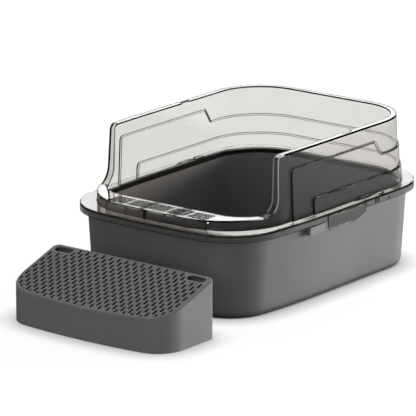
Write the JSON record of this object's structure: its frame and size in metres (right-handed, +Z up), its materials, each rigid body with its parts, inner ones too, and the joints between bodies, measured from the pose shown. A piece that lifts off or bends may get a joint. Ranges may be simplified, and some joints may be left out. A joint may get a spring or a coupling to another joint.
{
  "type": "high-sided litter box",
  "caption": "Open litter box: dark grey tray, clear high-walled shield with a grilled entry ledge and side latch tabs, and a loose perforated step.",
  "frame": {"origin": "middle of the tray's underside, on the floor", "axes": "+X to the right as seen by someone facing the entry from the step, +Y from the entry to the back, +Z up"},
  "size_m": [0.402, 0.7295, 0.26],
  "materials": {
    "grey_plastic": "fine satin texture",
    "clear_plastic": "polished, clear with a faint smoke tint"
  },
  "bodies": {
    "tray_body": {"tray": "grey_plastic"},
    "shield_body": {"shield": "clear_plastic"},
    "latch_right_body": {"latch_tab_right": "clear_plastic"},
    "latch_left_body": {"latch_tab_left": "clear_plastic"},
    "step_body": {"step": "grey_plastic"}
  },
  "joints": [
    {"name": "shield_lift", "type": "slide", "parent": "tray_body", "child": "shield_body", "axis": [0, 0, 1], "range_m": [0, 0.15]},
    {"name": "latch_right_flex", "type": "hinge", "parent": "shield_body", "child": "latch_right_body", "pos_m": [0.1989, -0.04, 0.14035], "axis": [0, -1, 0], "range_deg": [0, 10], "stiffness_Nm_per_rad": 0.3},
    {"name": "latch_left_flex", "type": "hinge", "parent": "shield_body", "child": "latch_left_body", "pos_m": [-0.1989, -0.04, 0.14035], "axis": [0, 1, 0], "range_deg": [0, 10], "stiffness_Nm_per_rad": 0.3},
    {"name": "step_slide", "type": "slide", "parent": "tray_body", "child": "step_body", "axis": [0, 1, 0], "range_m": [-0.2, 0.067]}
  ]
}
